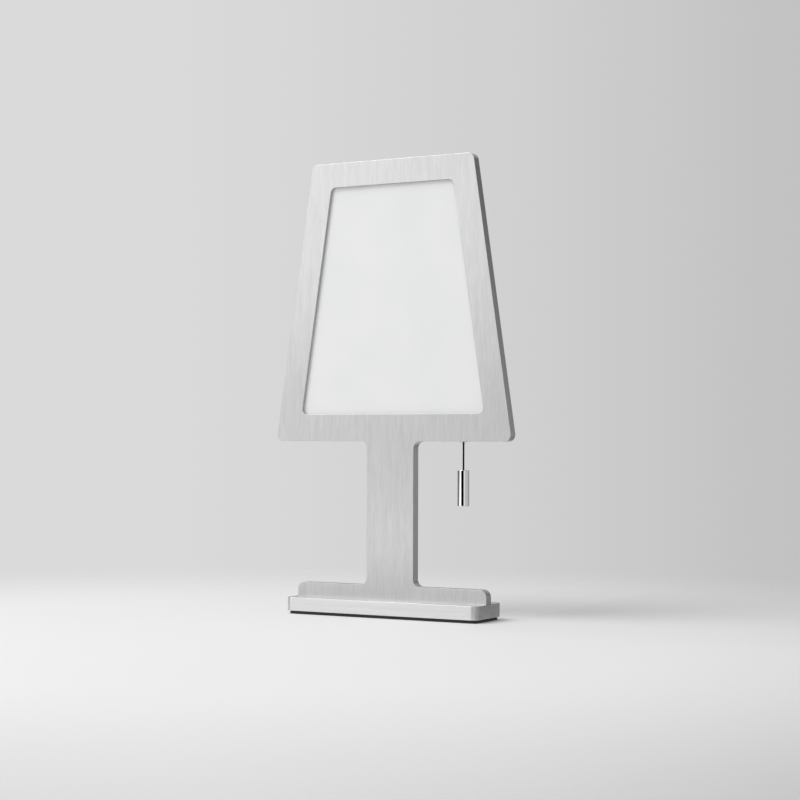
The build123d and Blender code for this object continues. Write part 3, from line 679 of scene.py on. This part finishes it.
finish_nodes(matte_sheet("thermal silicone", "#8A8F96", "#979CA2", 0.8, 0.5 * MM), "driver_pad")
finish_nodes(matte_sheet("green solder mask", "#0B4D2C", "#125C36", 0.35, 1.2 * MM), "driver_board")
ferrite = matte_sheet("sintered ferrite", "#1D1D1F", "#29292B", 0.7, 0.3 * MM)
finish_nodes(ferrite, "driver_inductor")
ceramic = matte_sheet("fired ceramic", "#8E6F4E", "#A2825E", 0.5, 0.2 * MM)
finish_nodes(ceramic, "driver_capacitors")
finish_nodes(matte_sheet("white nylon", "#E2E0D6", "#ECEAE2", 0.5, 0.4 * MM), "wire_connectors")
finish_nodes(black_nylon, "driver_chip")

# ---------------------------------------------------------------- pull switch
# A moulded tray with a lid in the lower border. A slider on the cord presses the key switch, and a
# wire spring lifts it again.

nickel_sheen = (0.12, 0.12, 0.24)
nickel = bright_metal("bright nickel plate", "#C9C7C0", "#D8D6D0", nickel_sheen, (0.4 * MM,) * 3)
finish_nodes(black_nylon, "switch_housing", "switch_lid", "tact_switch")
acetal = matte_sheet("white acetal", "#E8E8E3", "#F1F1ED", 0.4, 0.3 * MM)
finish_nodes(acetal, "pull_slider", "switch_plunger")
finish_nodes(nickel, "switch_terminals", "cord_ferrule", "cord_crimp")
finish_nodes(cord.data.materials[0], "cord_upper")

spring_wire = 0.4 * MM
spring_mid_radius = 1.4 * MM
spring_turns = 6
spring_low, spring_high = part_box("return_spring")
spring_play = 0.03 * MM


def sized_tree(name, **sizes):
    """A geometry node tree and its inputs: points, and a number for each size."""
    tree = bpy.data.node_groups.new(name, "GeometryNodeTree")
    face = tree.interface
    face.new_socket("Geometry", in_out="INPUT", socket_type="NodeSocketGeometry")
    for size, value in sizes.items():
        socket = face.new_socket(size, in_out="INPUT", socket_type="NodeSocketFloat")
        socket.default_value = value
    face.new_socket("Geometry", in_out="OUTPUT", socket_type="NodeSocketGeometry")
    return tree, add(tree, "NodeGroupInput").outputs


def repeated(tree, points, mesh, material, turn=(0, 0, 0)):
    """End a tree with a mesh on every point, made real and given its material."""
    placing = {"Points": points, "Instance": mesh, "Rotation": turn}
    placed = add(tree, "GeometryNodeInstanceOnPoints", placing).outputs["Instances"]
    real = add(tree, "GeometryNodeRealizeInstances", {"Geometry": placed}).outputs["Geometry"]
    painted = add(tree, "GeometryNodeSetMaterial", {"Geometry": real, "Material": material})
    add(tree, "NodeGroupOutput", {"Geometry": painted.outputs["Geometry"]})


def spring_tree(material):
    """Geometry nodes that wind one wire spring, its end turns closed, upwards from every point."""
    rise = spring_high.z - spring_low.z - spring_wire - 2 * spring_play
    tree, given = sized_tree(
        "wire spring", radius=spring_mid_radius, wire=spring_wire / 2, rise=rise, turns=spring_turns
    )
    coil = add(
        tree,
        "GeometryNodeCurveSpiral",
        {
            "Resolution": 24,
            "Rotations": given["turns"],
            "Start Radius": given["radius"],
            "End Radius": given["radius"],
            "Height": 0.0,
        },
    )
    along = add(tree, "GeometryNodeSplineParameter").outputs["Factor"]
    climb = add(tree, "ShaderNodeFloatCurve", {"Value": along})
    line = climb.mapping.curves[0]
    line.points.new(1 / spring_turns, spring_wire / rise)
    line.points.new(1 - 1 / spring_turns, 1 - spring_wire / rise)
    climb.mapping.update()
    heights = {0: climb.outputs["Value"], 1: given["rise"]}
    lift = add(tree, "ShaderNodeMath", heights, operation="MULTIPLY").outputs[0]
    offset = add(tree, "ShaderNodeCombineXYZ", {"Z": lift}).outputs["Vector"]
    climbing = {"Geometry": coil.outputs["Curve"], "Offset": offset}
    wound = add(tree, "GeometryNodeSetPosition", climbing).outputs["Geometry"]
    across = {"Resolution": 10, "Radius": given["wire"]}
    section = add(tree, "GeometryNodeCurvePrimitiveCircle", across).outputs["Curve"]
    sweep = {"Curve": wound, "Profile Curve": section, "Fill Caps": True}
    wire = add(tree, "GeometryNodeCurveToMesh", sweep).outputs["Mesh"]
    repeated(tree, given["Geometry"], wire, material)
    return tree


def grown(name, points, tree):
    """A plain mesh from a node tree run on a set of points."""
    mesh = bpy.data.meshes.new(name)
    mesh.from_pydata([tuple(point) for point in points], [], [])
    holder = bpy.data.objects.new(name, mesh)
    scene.collection.objects.link(holder)
    holder.modifiers.new("grow", "NODES").node_group = tree
    result = bpy.data.meshes.new_from_object(evaluated(holder))
    holder.modifiers.clear()
    holder.data = result
    return holder


wire_sheen = (0.25, 0.25, 0.35)
spring_steel = bright_metal("drawn spring steel", "#8B8C8E", "#A0A1A3", wire_sheen, (0.2 * MM,) * 3)
spring_foot = (pull_x, pull_y, spring_low.z + spring_wire / 2 + spring_play)
spring = grown("spring", [spring_foot], spring_tree(spring_steel))
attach(spring, "lamp")
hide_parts("return_spring")
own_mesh(spring)

# ---------------------------------------------------------------- eyelet
# A nickel-plated brass eyelet, pressed into the shade's underside. It keeps the cord off the
# plate's sharp edge.

eyelet_low, eyelet_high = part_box("exit_eyelet")
flange_radius = (eyelet_high.x - eyelet_low.x) / 2
flange_edge = 0.2 * MM
eyelet_bore = 1.2 * MM
flare = ((0.7 * MM, 0), (0.2 * MM, 0.3 * MM), (0, 0.8 * MM))  # of the bore's lower end: out, up
eyelet_profile = [
    (eyelet_bore, eyelet_high.z),
    (cord_bore, eyelet_high.z),
    (cord_bore, shade_bottom_z),
    (flange_radius, shade_bottom_z),
    (flange_radius, eyelet_low.z + flange_edge),
    (flange_radius - flange_edge, eyelet_low.z),
]
eyelet_profile += [(eyelet_bore + outwards, eyelet_low.z + upwards) for outwards, upwards in flare]
eyelet_made = turned(eyelet_profile, axis, steps=48)
piece("eyelet", eyelet_made, nickel, "lamp", "nickel_plate", "exit_eyelet")

# ---------------------------------------------------------------- rear cover
# A 1.8 mm sheet let into the back, flush with the plate and brushed the same way, with a hairline
# of clearance round it and a countersunk hole for each screw.

screw_head = 3.8 * MM
screw_shank = 2.0 * MM
head_depth = (screw_head - screw_shank) / 2
hole_play = 0.06 * MM
cover_edge = 0.15 * MM

# The screws sit in the middle of the cover's seat: two above, four below and two on each side. Two
# more hold the tongue, one on each side of the channel.
seat_middle = seat_width / 2
screw_spots = [(x * MM, cavity_high_z + seat_middle) for x in (-44, 44)]
screw_spots += [(x * MM, 173.5 * MM) for x in (-98, -46, 46, 98)]
for side in (-1, 1):
    for z in (225 * MM, 375 * MM):
        screw_spots.append((side * half_width(z, cavity_inset - seat_middle), z))
    screw_spots.append((side * 9.0 * MM, 38.0 * MM))


def circle(x, z, radius, steps=32):
    """The corners of a round hole."""
    turns = [i * (math.tau / steps) for i in range(steps)]
    return [(x + radius * math.cos(turn), z + radius * math.sin(turn)) for turn in turns]


def sheet_with_holes():
    """The cover: outline and countersunk holes, bridged from its back face to its front."""
    made = bmesh.new()
    softened, full = cover_shape(cover_gap + cover_edge), cover_shape(cover_gap)
    outlines = [[(softened, back_y), (full, back_y - cover_edge), (full, cover_y)]]
    for x, z in screw_spots:
        wide = circle(x, z, screw_head / 2 + hole_play)
        narrow = circle(x, z, screw_shank / 2 + hole_play)
        outlines.append([(wide, back_y), (narrow, back_y - head_depth), (narrow, cover_y)])
    backs, fronts = [], []
    for outline in outlines:
        rings = [[made.verts.new((x, y, z)) for x, z in shape] for shape, y in outline]
        for here, there in zip(rings, rings[1:]):
            wall(made, here, there)
        backs.append(rings[0])
        fronts.append(rings[-1])
    cap(made, *backs)
    cap(made, *fronts)
    return made


piece("cover", sheet_with_holes(), aluminium, "lamp", "brushed_aluminium", "rear_cover")

# ---------------------------------------------------------------- cover screws
# Twelve countersunk M2 screws in stainless steel with a hexagon socket, set flush with the cover.
# The four screws under the foot are of the same steel.

screw_length = 5.0 * MM
screw_sink = 0.05 * MM
hexagon_radius = 0.75 * MM
hexagon_depth = 0.65 * MM


def screw_tree(material):
    """Geometry nodes that put one countersunk screw on every point, its head towards +Y."""
    tree, given = sized_tree(
        "countersunk screws",
        head=screw_head / 2,
        shank=screw_shank / 2,
        depth=head_depth,
        length=screw_length,
        hexagon=hexagon_radius,
        socket=hexagon_depth,
    )

    def lowered(mesh, size, share):
        """A mesh moved along -Z by a share of one of the sizes."""
        length = add(tree, "ShaderNodeMath", {0: given[size], 1: -share}, operation="MULTIPLY")
        offset = add(tree, "ShaderNodeCombineXYZ", {"Z": length.outputs[0]}).outputs["Vector"]
        move = {"Geometry": mesh.outputs["Mesh"], "Translation": offset}
        return add(tree, "GeometryNodeTransform", move).outputs["Geometry"]

    cone = {"Radius Top": given["head"], "Radius Bottom": given["shank"], "Depth": given["depth"]}
    head = add(tree, "GeometryNodeMeshCone", {"Vertices": 32, **cone})
    rod = {"Vertices": 32, "Radius": given["shank"], "Depth": given["length"]}
    shank = add(tree, "GeometryNodeMeshCylinder", rod)
    key = {"Vertices": 6, "Radius": given["hexagon"], "Depth": given["socket"]}
    hexagon = add(tree, "GeometryNodeMeshCylinder", key)
    whole = add(tree, "GeometryNodeMeshBoolean", operation="UNION", solver="EXACT")
    tree.links.new(lowered(head, "depth", 1.0), whole.inputs["Mesh"])
    tree.links.new(lowered(shank, "length", 0.5), whole.inputs["Mesh"])
    socketed = add(tree, "GeometryNodeMeshBoolean", operation="DIFFERENCE", solver="EXACT")
    tree.links.new(whole.outputs["Mesh"], socketed.inputs["Mesh 1"])
    tree.links.new(hexagon.outputs["Mesh"], socketed.inputs["Mesh 2"])
    towards_back = (-math.pi / 2, 0, 0)
    repeated(tree, given["Geometry"], socketed.outputs["Mesh"], material, towards_back)
    return tree


screw_sheen = (0.24, 0.24, 0.34)
steel = bright_metal("stainless screw steel", "#A5A6A8", "#B9BABC", screw_sheen, (0.3 * MM,) * 3)
screw_places = [(x, back_y - screw_sink, z) for x, z in screw_spots]
screws = grown("screws", screw_places, screw_tree(steel))
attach(screws, "lamp")
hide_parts("rear_cover_screws")
finish_nodes(steel, "foot_screws")

# ---------------------------------------------------------------- base bar
# A solid aluminium bar with rounded corners. The tenon under the plate's foot is let into a slot in
# its top, milled with a 10 mm cutter, so the slot's ends are round and the foot's ends cover them.

base_low, base_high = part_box("base_bar")
base_half_length = base_high.x
base_half_depth = base_high.y
base_corner = 6.5 * MM
slot_half_length = tenon_half + back_y
slot_play = 0.08 * MM
jack_low, jack_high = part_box("dc_jack")
jack_z = (jack_low.z + jack_high.z) / 2
jack_radius = (jack_high.x - jack_low.x) / 2
inlet_depth = 8.0 * MM


def box_shape(x, y, radius, inset=0.0):
    """A rectangle of half sizes X and Y round the lamp's middle, with rounded corners."""
    return rounded([(-x, -y), (x, -y), (x, y), (-x, y)], [radius] * 4, inset)


def bar_shape(inset=0.0):
    """The bar's outline, drawn inwards by the inset."""
    return box_shape(base_half_length, base_half_depth, base_corner, inset)


bar_levels = rounding(bar_shape, base_low.z, -1)[::-1] + rounding(bar_shape, base_high.z, 1)
bar = skin(bar_levels, upright=False)
slot_outline = box_shape(slot_half_length, back_y + slot_play, back_y)
bar = cut(bar, skin([(slot_outline, plate_low.z), (slot_outline, base_high.z + MM)], upright=False))
inlet_axis = Vector((0, base_half_depth, jack_z))
inlet_profile = [(0, -inlet_depth), (jack_radius, -inlet_depth), (jack_radius, MM), (0, MM)]
bar = cut(bar, turned(inlet_profile, inlet_axis, True, 48))
bar_aluminium = brushed_aluminium(
    "lengthwise brushed aluminium",
    along=(1, 0, 0),
    scratch=((60 * MM, 0.6 * MM, 0.6 * MM), 3),
    streak=((150 * MM, 4 * MM, 4 * MM), 2, 3),
    greys=("#CBCBCB", "#D9D9D9"),
    roughness=(0.28, 0.2, 0.32),
    bump=0.15,
)
piece("bar", bar, bar_aluminium, "lamp", "brushed_aluminium", "base_bar")

# ---------------------------------------------------------------- rubber pad
# A sheet of black nitrile rubber glued under the bar, so that the lamp doesn't slip. It is cut a
# little smaller than the bar all round.

pad_low, pad_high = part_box("rubber_pad")
pad_corner = 4.1 * MM
pad_shape = box_shape(pad_high.x, pad_high.y, pad_corner)
pad_made = skin([(pad_shape, pad_low.z), (pad_shape, pad_high.z)], upright=False)
rubber = matte_sheet("nitrile rubber sheet", "#0C0C0D", "#19191A", 0.5, 0.6 * MM)
piece("pad", pad_made, rubber, "lamp", "black_rubber", "rubber_pad")

# ---------------------------------------------------------------- power inlet
# A barrel socket for a 5.5 mm plug, moulded in black nylon round a nickel-plated pin. Its flange
# is let in flush with the back of the bar.

socket_radius = 2.8 * MM
socket_depth = 9.0 * MM
jack_end = jack_low.y - base_half_depth
tail_radius, tail_start = jack_radius * 0.68, -12.5 * MM
thread_radius, flange_start = jack_radius * 0.8, -1.6 * MM
jack_edge = 0.3 * MM
jack_profile = [
    (0, jack_end),
    (tail_radius, jack_end),
    (tail_radius, tail_start),
    (thread_radius, tail_start),
    (thread_radius, flange_start),
    (jack_radius, flange_start),
    (jack_radius, -jack_edge),
    (jack_radius - jack_edge, 0),
    (socket_radius + jack_edge, 0),
    (socket_radius, -jack_edge),
    (socket_radius, -socket_depth),
    (0, -socket_depth),
]
jack_made = turned(jack_profile, inlet_axis, True, 64)
piece("jack", jack_made, black_nylon, "lamp", "black_plastic", "dc_jack")

pin_radius = 1.05 * MM
pin_nose = ((1, -1.6 * MM), (0.75, -1.15 * MM), (0.35, -MM), (0, -MM))  # share of radius, distance
pin_profile = [(0, -socket_depth), (pin_radius, -socket_depth)]
pin_profile += [(pin_radius * share, distance) for share, distance in pin_nose]
pin_made = turned(pin_profile, inlet_axis, True, 32)
piece("jack_pin", pin_made, nickel, "lamp", "nickel_plate", "dc_jack_pin")
finish_nodes(nickel, "dc_jack_nut", "dc_jack_lugs")

# ---------------------------------------------------------------- hook-up wires
# Silicone-insulated wires inside the lamp: a black pair up the neck to the board, and white pairs
# from there to the switch and the strips.

finish_nodes(matte_sheet("black silicone wire", "#0D0D0E", "#171718", 0.5, 0.5 * MM), "power_wires")
white_silicone = matte_sheet("white silicone wire", "#E0E0DC", "#EAEAE7", 0.5, 0.5 * MM)
finish_nodes(white_silicone, "left_led_wires", "right_led_wires", "switch_wires")

# ---------------------------------------------------------------- studio
# A pale floor that fades into a grey backdrop, a wide soft box on the left and dim grey all round.
# One grey card on the floor and three on the walls darken what the metal's edges mirror.

floor_reach = 1.5
floor_clear = (0.32, 0.95)  # from the middle: white up to here, gone from here
floor_middle = (-0.02, -0.22, 0)
card_edges = (0.112, 0.75, -0.07, 0.75)
lamp_middle = Vector((0, 0, 0.22))
soft_box_turn = math.radians(-38)
soft_box_rise = math.radians(50)
soft_box_distance = 2.3
soft_box_width = 1.5
soft_box_watts = 27


def studio_sheet(name, left, right, near, far, z, material):
    """A level rectangle in the studio."""
    mesh = bpy.data.meshes.new(name)
    corners = [(left, near, z), (right, near, z), (right, far, z), (left, far, z)]
    mesh.from_pydata(corners, [], [(0, 1, 2, 3)])
    mesh.materials.append(material)
    sheet = bpy.data.objects.new(name, mesh)
    scene.collection.objects.link(sheet)
    return sheet


def studio_floor():
    """Matt white paper near the lamp, fading out to the backdrop's grey."""
    material, tree, shader = new_material(
        "white paper floor", Roughness=0.75, Base_Color=linear("#F4F4F4")
    )
    place = add(tree, "ShaderNodeTexCoord").outputs["Object"]
    offset = add(
        tree, "ShaderNodeVectorMath", {0: place, 1: floor_middle}, operation="DISTANCE"
    ).outputs["Value"]
    edges = {"Value": offset, "From Min": floor_clear[0], "From Max": floor_clear[1]}
    fade = add(tree, "ShaderNodeMapRange", edges, interpolation_type="SMOOTHSTEP")
    clear = add(tree, "ShaderNodeBsdfTransparent").outputs["BSDF"]
    parts = {0: fade.outputs["Result"], 1: shader.outputs["BSDF"], 2: clear}
    faded = add(tree, "ShaderNodeMixShader", parts).outputs["Shader"]
    tree.links.new(faded, tree.nodes["Material Output"].inputs["Surface"])
    return material


floor_edges = (-floor_reach, floor_reach, -floor_reach, floor_reach)
floor = studio_sheet("floor", *floor_edges, 0, studio_floor())

# The card lies right of the lamp, and only the metal sees it.
card_grey = new_material("grey card", Roughness=0.9, Base_Color=linear("#A4A4A4"))[0]
card = studio_sheet("grey_card", *card_edges, MM, card_grey)
card.visible_camera = card.visible_diffuse = card.visible_shadow = False


def direction(turn, rise):
    """A unit vector, turned to the right of straight in front of the lamp and raised."""
    level = math.cos(rise)
    return Vector((math.sin(turn) * level, -math.cos(turn) * level, math.sin(rise)))


soft_box_light = bpy.data.lights.new("soft_box", "AREA")
soft_box_light.shape = "SQUARE"
soft_box_light.size = soft_box_width
soft_box_light.energy = soft_box_watts
soft_box = bpy.data.objects.new("soft_box", soft_box_light)
away = direction(soft_box_turn, soft_box_rise)
aimed = (-away).to_track_quat("-Z", "Y").to_matrix().to_4x4()
soft_box.matrix_world = Matrix.Translation(away * soft_box_distance + lamp_middle) @ aimed
scene.collection.objects.link(soft_box)

# Turns are degrees to the right of straight in front of the lamp. Rises are 0 level and 1 overhead.
room_walls = (
    (-90, "#606060"),
    (-58, "#686868"),
    (-51, "#FFFFFF"),
    (-38, "#FFFFFF"),
    (-19, "#B8B8B8"),
    (-13, "#7A7A7A"),
    (4, "#7A7A7A"),
    (30, "#9C9C9C"),
    (34, "#E4E4E4"),
    (50, "#D8D8D8"),
    (62, "#B4B4B4"),
    (122, "#B4B4B4"),
    (136, "#929292"),
    (172, "#8C8C8C"),
    (188, "#A4A4A4"),
    (250, "#A4A4A4"),
    (270, "#606060"),
)
ceiling_starts = (0.08, 0.42)
ceiling_colour = "#A8A8A8"
room_strength = 1.2
light_turn = math.radians(-61)
light_strength = 2.6
light_spread = (0.1, 0.6)
rise_reach = 0.4
light_heights = (
    (-0.10, "#BCBCBC"),
    (-0.07, "#E6E6E6"),
    (-0.04, "#F0F0F0"),
    (-0.015, "#BFBFBF"),
    (0.01, "#B1B1B1"),
    (0.06, "#E3E3E3"),
    (0.13, "#F4F4F4"),
)
# Each wall card has the turns and the rises at which it fades in and out, and its grey.
wall_cards = (
    ((-19, -13, 30, 34), (-0.06, -0.05, 0.0, 0.01), "#050505"),
    ((196, 202, 262, 268), (-0.06, -0.05, 0.0, 0.01), "#464646"),
    ((118, 128, 176, 186), (0.13, 0.27, 0.38, 0.4), "#5C5C5C"),
)
# The backdrop's greys are painted light: lighter towards the soft box on the left, darker away from
# it.
backdrop_painted_light = ((0.0, "#B4B4B4"), (0.40, "#C2C2C2"), (0.47, "#D0D0D0"), (0.56, "#DADADA"))


def set_stops(ramp, stops):
    """Give a colour ramp its stops, as positions and sRGB hex colours."""
    while len(ramp.elements) < len(stops):
        ramp.elements.new(1.0)
    for element, (position, colour) in zip(ramp.elements, stops):
        element.position = position
        element.color = linear(colour)


def turn_stop(turn):
    """Where a turn is on a ramp that goes once round the room."""
    return turn / 360 + 0.25


def rise_stop(rise):
    """Where a rise is on a ramp that covers the heights near the lamp's own."""
    return rise / rise_reach / 2 + 0.5


def inside(tree, value, edges):
    """1 between the two middle edges, falling to 0 at the outer ones."""
    ramp = add(tree, "ShaderNodeValToRGB", {"Fac": value})
    set_stops(ramp.color_ramp, list(zip(edges, ("#000000", "#FFFFFF", "#FFFFFF", "#000000"))))
    return ramp.outputs["Color"]


def studio_world():
    """The room round the lamp, which the metal mirrors, and the backdrop that the camera sees."""
    world = bpy.data.worlds.new("studio")
    scene.world = world
    world.use_nodes = True
    tree = world.node_tree
    tree.nodes.clear()
    way = add(tree, "ShaderNodeTexCoord").outputs["Generated"]
    radial = add(tree, "ShaderNodeTexGradient", {"Vector": way}, gradient_type="RADIAL")
    around = radial.outputs["Fac"]
    room = add(tree, "ShaderNodeValToRGB", {"Fac": around})
    set_stops(room.color_ramp, [(turn_stop(turn), grey) for turn, grey in room_walls])
    height = add(tree, "ShaderNodeSeparateXYZ", {"Vector": way}).outputs["Z"]
    reach = {"Value": height, "From Min": -rise_reach, "From Max": rise_reach}
    level = add(tree, "ShaderNodeMapRange", reach).outputs["Result"]
    starts = {"Value": height, "From Min": ceiling_starts[0], "From Max": ceiling_starts[1]}
    ceiling = add(tree, "ShaderNodeMapRange", starts, interpolation_type="SMOOTHSTEP")
    upwards = ceiling.outputs["Result"]
    roofed = {"Factor": upwards, "A": room.outputs["Color"], "B": linear(ceiling_colour)}
    greys = add(tree, "ShaderNodeMix", roofed, data_type="RGBA").outputs["Result"]
    for turns, rises, grey in wall_cards:
        across = inside(tree, around, [turn_stop(turn) for turn in turns])
        upright = inside(tree, level, [rise_stop(rise) for rise in rises])
        card = add(tree, "ShaderNodeMath", {0: across, 1: upright}, operation="MULTIPLY")
        darkened = {"Factor": card.outputs["Value"], "A": greys, "B": linear(grey)}
        greys = add(tree, "ShaderNodeMix", darkened, data_type="RGBA").outputs["Result"]
    towards_light = direction(light_turn, 0)
    leftness = add(
        tree, "ShaderNodeVectorMath", {0: way, 1: towards_light}, operation="DOT_PRODUCT"
    ).outputs["Value"]
    shares = add(tree, "ShaderNodeValToRGB", {"Fac": level})
    set_stops(shares.color_ramp, [(rise_stop(rise), grey) for rise, grey in light_heights])
    heights = {0: shares.outputs["Color"], 1: light_strength}
    tall = add(tree, "ShaderNodeMath", heights, operation="MULTIPLY").outputs[0]
    spread = {"Value": leftness, "From Min": light_spread[0], "From Max": light_spread[1]}
    beside = add(tree, "ShaderNodeMapRange", spread, interpolation_type="SMOOTHSTEP")
    # Painted light on the backdrop: its grey follows how far each way points towards the soft box.
    shifted = add(tree, "ShaderNodeMath", {0: leftness, 1: 0.5, 2: 0.5}, operation="MULTIPLY_ADD")
    backdrop = add(tree, "ShaderNodeValToRGB", {"Fac": shifted.outputs[0]})
    set_stops(backdrop.color_ramp, backdrop_painted_light)
    strengths = {"Factor": beside.outputs["Result"], "A": room_strength, "B": tall}
    strength = add(tree, "ShaderNodeMix", strengths, data_type="FLOAT").outputs["Result"]
    lit = add(tree, "ShaderNodeBackground", {"Color": greys, "Strength": strength}).outputs[0]
    even = add(tree, "ShaderNodeBackground", {"Color": backdrop.outputs["Color"]}).outputs[0]
    seen = add(tree, "ShaderNodeLightPath").outputs["Is Camera Ray"]
    both = add(tree, "ShaderNodeMixShader", {0: seen, 1: lit, 2: even})
    add(tree, "ShaderNodeOutputWorld", {"Surface": both.outputs["Shader"]})


studio_world()

# ---------------------------------------------------------------- view
# The render's colours are shown plain, with the standard view transform.

scene.view_settings.view_transform = "Standard"
